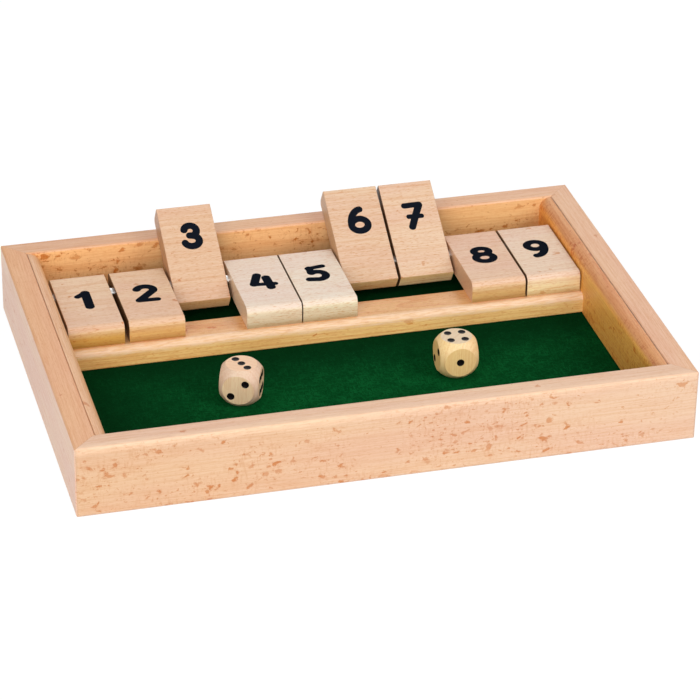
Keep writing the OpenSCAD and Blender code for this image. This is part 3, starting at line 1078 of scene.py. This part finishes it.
# What a piece of beech has unless its own cut says otherwise. Turn puts its grain along x, and shift and
# heart pick its place in the log. A pair of tints or of highlight shares runs from left to right or from
# front to back, and a pair of flecks from the other faces to the broad ones. Where a piece's tint for the
# faces that look up differs from its edge tint for the others, or a pair of tints changes along it, the
# difference is
# painted light: a painted sheen on the tops, and painted shade and light on the sides.
USUAL_CUT = {
    "turn": (0, 0, 0), "pivot": (0, 0, 0), "shift": (0, 0, 0), "heart": (0, -70, 60), "tint": (1, 1, 1),
    "rings": 0.5, "streaks": 0.5, "pores": 0.5, "flecks": 0.05, "fleck_scale": 1.0, "fleck_tint": (1, 1, 1),
    "dashes": 0.6, "mitred": False, "relief_mm": 0.03,
}
ALONG_Y = {"turn": (0, 0, -QUARTER)}
CUTS = {
    "board": {
        "front_board": {
            "shift": (0, 0, 0), "heart": (0, -240, 40), "flecks": (0.04, 0.5), "mitred": True,
            "tint": ((0.98, 1.06, 1.14), (1.0, 1.12, 1.22)),
            "edge_tint": ((0.88, 0.95, 0.96), (0.94, 1.08, 1.24)),
            "rings": 0.12, "streaks": 0.4, "edge_highlight_share": (0.55, 0.3),
        },
        "back_board": {
            "shift": (410, 30, 12), "heart": (0, -180, -40), "flecks": (0.04, 0.7), "mitred": True,
            "tint": ((0.94, 0.9, 0.82), (1.02, 1.04, 1.02)),
            "edge_tint": ((1.16, 1.13, 0.8), (1.04, 1.03, 0.76)),
            "rings": 0.25, "fleck_scale": 1.2, "fleck_tint": (0.8, 0.68, 0.28), "dashes": 0.35,
        },
        # The left board's edge tint pales its sides: a painted sheen.
        "left_board": {
            **ALONG_Y, "shift": (830, 20, 55), "heart": (0, 140, 90), "flecks": (0.03, 0.12), "mitred": True,
            "tint": ((0.99, 0.9, 0.77), (0.98, 0.86, 0.68)), "edge_tint": (1.16, 1.31, 1.58), "rings": 0.2,
        },
        "right_board": {
            **ALONG_Y, "shift": (1270, 75, 8), "heart": (0, 160, -60), "flecks": (0.03, 0.2), "mitred": True,
            "edge_tint": (1.0, 1.0, 1.05), "rings": 0.2, "streaks": 0.45, "pores": 0.45,
            "seam_wide_mm": 0.3, "seam_depth": (0.8, 0.8),
        },
    },
    "strip": {
        # The left strip's tints brighten it: painted light on a strip that lies in shade.
        "left_strip": {
            **ALONG_Y, "shift": (1750, 9, 31), "heart": (0, 60, -90), "rings": 0.3, "streaks": 0.6,
            "tint": ((1.1, 1.24, 1.46), (1.13, 1.34, 1.62)),
            "edge_tint": ((1.08, 1.22, 1.2), (1.14, 1.38, 1.45)),
            "seam_wide_mm": 0.4, "seam_depth": (0.0, 0.3),
        },
        # The right strip's inner face: painted light toward the front, painted shade toward the back.
        "right_strip": {
            **ALONG_Y, "shift": (2110, 44, 90), "heart": (0, -80, 70), "rings": 0.3, "streaks": 0.6,
            "tint": (1.0, 0.9, 0.7), "edge_tint": ((1.36, 1.6, 0.8), (1.26, 1.1, 0.5)),
            "flecks": (0.1, 0.5), "dashes": 2.2, "pores": 0.9, "seam_wide_mm": 0.45, "seam_depth": (0.9, 0.9),
        },
    },
    "rail": {
        # The rail's edge tint is painted light on its front, paler toward the right for a painted highlight.
        "stop_rail": {
            "shift": (2600, 5, 61), "heart": (0, 50, -90), "streaks": 0.7, "pores": 0.8, "satin": 0.27,
            "tint": ((1.12, 1.16, 0.98), (1.13, 1.2, 1.14)),
            "edge_tint": ((1.34, 1.58, 1.3), (1.36, 1.72, 1.6)),
            "edge_highlight_share": (0.75, 1.0),
        },
    },
    "panel": {
        "floor_panel": {
            "shift": (3300, 12, 4), "heart": (0, 20, -130), "rings": 0.55, "streaks": 0.4, "relief_mm": 0.05,
        },
    },
}
# Tint of each tile's broad faces, and what its ends multiply that by. The end tints are painted light and
# shade, set for each tile on its own.
TILE_TINTS = {
    1: (1.09, 1.17, 1.21), 2: (1.08, 1.12, 1.12), 3: (0.98, 1.02, 1.07), 4: (1.15, 1.48, 1.86),
    5: (1.16, 1.5, 1.9), 6: (1.0, 1.1, 1.16), 7: (1.02, 1.12, 1.22), 8: (1.08, 1.13, 1.22),
    9: (1.12, 1.34, 1.56),
}
TILE_EDGES = {
    1: (0.82, 0.68, 0.25), 2: (0.91, 0.81, 0.42), 3: (1.3, 1.06, 0.74), 4: (0.78, 0.77, 0.64),
    5: (0.76, 0.73, 0.6), 6: (1.28, 0.94, 0.6), 7: (1.28, 1.12, 0.88), 8: (0.79, 0.76, 0.43),
    9: (1.08, 1.06, 0.82),
}
# Tiles cut from paler, plainer wood.
PLAIN_TILES = (4, 5)
# Tint of a tile's sawn sides: end grain darker than the faces, and painted shade for the gaps between tiles.
# Left sides that face a neighbour across a narrow gap are darkest, with the most painted shade.
RIGHT_SIDE = (0.6, 0.46, 0.34)
GAP_SIDE_SHADE = (0.2, 0.14, 0.09)
LEFT_SIDES = {
    1: (0.4, 0.3, 0.22), 3: (0.76, 0.6, 0.46), 4: (0.98, 0.86, 0.72), 6: (0.84, 0.7, 0.56),
    8: (0.9, 0.78, 0.66),
}
# Painted light on a tile's two ends, from their painted shade at one edge to their painted highlight at the
# other.
END_PAINTED_SHADE = (0.62, 0.55, 0.42)
END_MIDDLE_PAINTED_LIGHT = (1.18, 1.18, 1.18)
END_PAINTED_HIGHLIGHT = {"shut": (1.15, 1.18, 1.05), "raised": (1.5, 1.28, 0.86)}
USUAL_DIE = {"satin": 0.5, "rings": 0.3, "streaks": 0.35, "pores": 0.3, "flecks": 0.0}
# The dice's tints for faces that look up, their other faces, their end-grain faces and their flat facets are
# painted light, each set for the light and shade it shows.
DICE_CUTS = {
    "left_die": {
        "facet_tint": (1.15, 1.15, 1.0), "tint": (1.02, 1.0, 1.12), "edge_tint": (1.02, 1.08, 1.22),
        "end_tint": ((0.98, 0.87, 0.92),) * 2, "shift": (5600, 14, 33), "heart": (0, -150, 90),
    },
    "right_die": {
        "facet_tint": (1.03, 0.96, 0.8), "tint": (1.2, 1.16, 0.88), "edge_tint": (1.16, 1.18, 1.0),
        "end_tint": ((0.8, 0.9, 1.5),) * 2, "shift": (5690, 14, 33), "heart": (0, 120, 130),
    },
}
# Place and width of each square lamp, which points at the tray's middle.
LAMPS = {
    "key": ((-0.894, -1.680, 0.888), 1.8),
    "side": ((1.255, -1.053, 1.147), 1.2),
    "back": ((0.45, 1.45, 1.3), 1.6),
}
SENSOR_MM = 36.0
SIGHT = 20.0
FLOOR_HALF = 4.0
# Strength of the floor's white in the picture, and its share beside the floor's own shading.
FLOOR_GLOW = 1.14
FLOOR_GLOW_SHARE = 0.82


class GAME_OT_finish_tray(bpy.types.Operator):
    """Give the boards, side strips, stop rail and floor panel their wood"""

    bl_idname = "game.finish_tray"
    bl_label = "Finish the tray"

    def execute(self, context):
        for kind, pieces in CUTS.items():
            ground = getattr(context.scene.game_wood, kind)
            for name, cut in pieces.items():
                finish_wood(name, ground, cut)
        return {"FINISHED"}


class GAME_OT_finish_rod(bpy.types.Operator):
    """Give the hinge rod its drawn steel"""

    bl_idname = "game.finish_rod"
    bl_label = "Finish the rod"

    def execute(self, context):
        finish_node("hinge_rod", steel_material())
        return {"FINISHED"}


class GAME_OT_finish_tiles(bpy.types.Operator):
    """Give each tile its own piece of wood, with end grain on its two sides"""

    bl_idname = "game.finish_tiles"
    bl_label = "Finish the tiles"

    def execute(self, context):
        low, high = shut_box()
        for n in TILES:
            name = f"tile_{n}"
            angle = raised_angle(n)
            cut = {
                "turn": (-angle, 0, 0),
                "pivot": HINGE[name],
                "shift": (4000 + 137 * n, 31 * n, 17 * n),
                "heart": (0, 40 + 30 * (n % 3), -60 - 25 * (n % 4)),
                "tint": TILE_TINTS[n],
                "edge_tint": tuple(a * b for a, b in zip(TILE_TINTS[n], TILE_EDGES[n])),
                "end_tint": (LEFT_SIDES.get(n, GAP_SIDE_SHADE), RIGHT_SIDE),
                "painted_ends_mm": (HINGE[name][1] / MM, low.z / MM, high.z / MM),
                "end_highlight_tint": END_PAINTED_HIGHLIGHT["raised" if angle else "shut"],
                "rings": 0.12 if n in PLAIN_TILES else 0.3,
                "streaks": 0.25 if n in PLAIN_TILES else 0.4,
                "pores": 0.9,
            }
            finish_wood(name, context.scene.game_wood.tile, cut)
        return {"FINISHED"}


class GAME_OT_print_numbers(bpy.types.Operator):
    """Print each tile's number on both of its broad faces"""

    bl_idname = "game.print_numbers"
    bl_label = "Print the numbers"

    def execute(self, context):
        ink = context.scene.game_ink
        material = ink_material("Number ink", ink.ink, rough=0.6, thin=0.06, gloss=0.0)
        low, high = shut_box()
        for n in TILES:
            left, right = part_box(f"tile_{n}")
            middle = (left.x + right.x) / 2
            drawn = shut_to_drawn(n)
            shut_x, from_rod_end = SHUT_PRINT_MM.get(n, USUAL_SHUT_MM)
            raised_x, from_free_end = RAISED_PRINT_MM.get(n, USUAL_RAISED_MM)
            above = Matrix.Translation((middle + shut_x * MM, high.y - from_rod_end * MM, high.z))
            below = Matrix.Translation((middle + raised_x * MM, low.y + from_free_end * MM, low.z))
            below = below @ Matrix.Rotation(math.pi, 4, "X")
            plate, plate_faces = number_plate(n, ink.film)
            verts, faces = [], []
            for side in (above, below):
                start = len(verts)
                verts += [drawn @ side @ Vector(v) for v in plate]
                faces += [tuple(start + k for k in f) for f in plate_faces]
            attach(new_piece(f"number_{n}", verts, faces, material), f"tile_{n}")
        return {"FINISHED"}


class GAME_OT_lay_felt(bpy.types.Operator):
    """Lay the green felt on the floor panel, with its lint"""

    bl_idname = "game.lay_felt"
    bl_label = "Lay the felt"

    def execute(self, context):
        felt = context.scene.game_felt
        sheet = felt_mesh(felt, felt_material())
        low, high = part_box("felt")
        covered = [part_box(name) for name in WEIGHTS]
        room = 1.5 * felt.hair_long
        attribute = sheet.data.attributes.new("open", "FLOAT", "POINT")
        for i, vertex in enumerate(sheet.data.vertices):
            clear = not any(within(vertex.co, a, b, room) for a, b in covered)
            attribute.data[i].value = 1.0 if clear and within(vertex.co, low, high, -room) else 0.0
        values = {
            "Hairs per square metre": felt.hairs / ((high.x - low.x) * (high.y - low.y)),
            "Length": felt.hair_long,
            "Thickness": felt.hair_thick,
            "Seed": felt.seed,
        }
        lint = grown("felt_lint", sheet, lint_tree(values, lint_material()), values)
        sheet.data.attributes.remove(sheet.data.attributes["open"])
        for piece in (sheet, lint):
            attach(piece, "tray")
        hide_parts("felt")
        return {"FINISHED"}


class GAME_OT_finish_dice(bpy.types.Operator):
    """Give the dice their pale wood"""

    bl_idname = "game.finish_dice"
    bl_label = "Finish the dice"

    def execute(self, context):
        for die, cut in DICE_CUTS.items():
            own = Matrix.Rotation(QUARTER, 3, "Y") @ Matrix.Rotation(-die_turn(die), 3, "Z")
            cut = {**USUAL_DIE, **cut, "turn": tuple(own.to_euler("XYZ"))}
            finish_wood(die, context.scene.game_wood.die, cut)
        return {"FINISHED"}


class GAME_OT_fill_pips(bpy.types.Operator):
    """Paint the dimples of both dice black"""

    bl_idname = "game.fill_pips"
    bl_label = "Fill the pips"

    def execute(self, context):
        ink = context.scene.game_ink
        values = {
            "Ball radius": (DIMPLE_WIDE**2 / 4 + PIP_DEPTH**2) / (2 * PIP_DEPTH),
            "Paint radius": ink.pip_wide / 2,
            "Depth": PIP_DEPTH,
            "Coat": PAINT_THICK,
        }
        paint = ink_material("Pip paint", ink.paint, rough=0.4, thin=0.05, gloss=0.1)
        tree = pip_tree(values, paint)
        for die in DICE_FACES:
            places = die_pips(die)
            points = bpy.data.meshes.new(f"{die}_pip_points")
            points.from_pydata([p for p, _ in places], [], [])
            outward = points.attributes.new("outward", "FLOAT_VECTOR", "POINT")
            for i, (_, direction) in enumerate(places):
                outward.data[i].vector = direction
            start = linked(f"{die}_pip_points", points)
            pips = grown(f"{die}_pips", start, tree, values)
            bpy.data.objects.remove(start)
            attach(pips, die)
        return {"FINISHED"}


class GAME_OT_set_studio(bpy.types.Operator):
    """Set up the camera, the lamps and the plain floor"""

    bl_idname = "game.set_studio"
    bl_label = "Set the studio"

    def execute(self, context):
        studio = context.scene.game_studio
        context.scene.view_settings.view_transform = "Standard"

        camera = linked("Camera", bpy.data.cameras.new("Camera"))
        camera.data.lens = studio.lens
        camera.data.sensor_width = SENSOR_MM
        camera.data.clip_end = SIGHT
        camera.location = studio.stand
        look = (Vector(studio.aim) - Vector(studio.stand)).to_track_quat("-Z", "Y")
        camera.rotation_mode = "QUATERNION"
        camera.rotation_quaternion = look @ Quaternion((0, 0, 1), studio.roll)
        context.scene.camera = camera

        for which, (place, size) in LAMPS.items():
            name = which.capitalize() + " lamp"
            lamp = linked(name, bpy.data.lights.new(name, "AREA"))
            lamp.data.shape = "SQUARE"
            lamp.data.size = size
            lamp.data.energy = getattr(studio, which)
            lamp.location = place
            lamp.rotation_euler = (-Vector(place)).to_track_quat("-Z", "Y").to_euler()

        world = bpy.data.worlds.new("White studio")
        context.scene.world = world
        world.use_nodes = True
        w = Wiring(world.node_tree)
        back = world.node_tree.nodes["Background"].inputs
        back["Color"].default_value = (1, 1, 1, 1)
        w.join(w.between(straight_rays(w), studio.sky, 1), back["Strength"])

        corners = [(x * FLOOR_HALF, y * FLOOR_HALF, 0) for x, y in ((-1, -1), (1, -1), (1, 1), (-1, 1))]
        new_piece("floor", corners, [(0, 1, 2, 3)], floor_material(studio.floor))
        return {"FINISHED"}


OPERATORS = (
    GAME_OT_finish_tray,
    GAME_OT_finish_rod,
    GAME_OT_finish_tiles,
    GAME_OT_print_numbers,
    GAME_OT_lay_felt,
    GAME_OT_finish_dice,
    GAME_OT_fill_pips,
    GAME_OT_set_studio,
)


class GAME_PT_bench(bpy.types.Panel):
    """Steps that finish the game, in order"""

    bl_idname = "GAME_PT_bench"
    bl_label = "Shut the box game"
    bl_space_type = "VIEW_3D"
    bl_region_type = "UI"
    bl_category = "Game"

    def draw(self, context):
        for operator in OPERATORS:
            self.layout.operator(operator.bl_idname)
        for group in SETTINGS:
            box = self.layout.box()
            box.label(text=group.__doc__)
            values = getattr(context.scene, SETTINGS[group])
            for name in group.__annotations__:
                box.prop(values, name)


SETTINGS = {GameWood: "game_wood", GameInk: "game_ink", GameFelt: "game_felt", GameStudio: "game_studio"}
CLASSES = (*SETTINGS, *OPERATORS, GAME_PT_bench)


def register():
    for one in CLASSES:
        bpy.utils.register_class(one)
    for group, name in SETTINGS.items():
        setattr(bpy.types.Scene, name, bpy.props.PointerProperty(type=group))


def unregister():
    for name in SETTINGS.values():
        delattr(bpy.types.Scene, name)
    for one in reversed(CLASSES):
        bpy.utils.unregister_class(one)


def main():
    """Runs every step."""
    register()
    bpy.ops.game.finish_tray()
    bpy.ops.game.finish_rod()
    bpy.ops.game.finish_tiles()
    bpy.ops.game.print_numbers()
    bpy.ops.game.lay_felt()
    bpy.ops.game.finish_dice()
    bpy.ops.game.fill_pips()
    bpy.ops.game.set_studio()


if __name__ == "__main__":
    main()
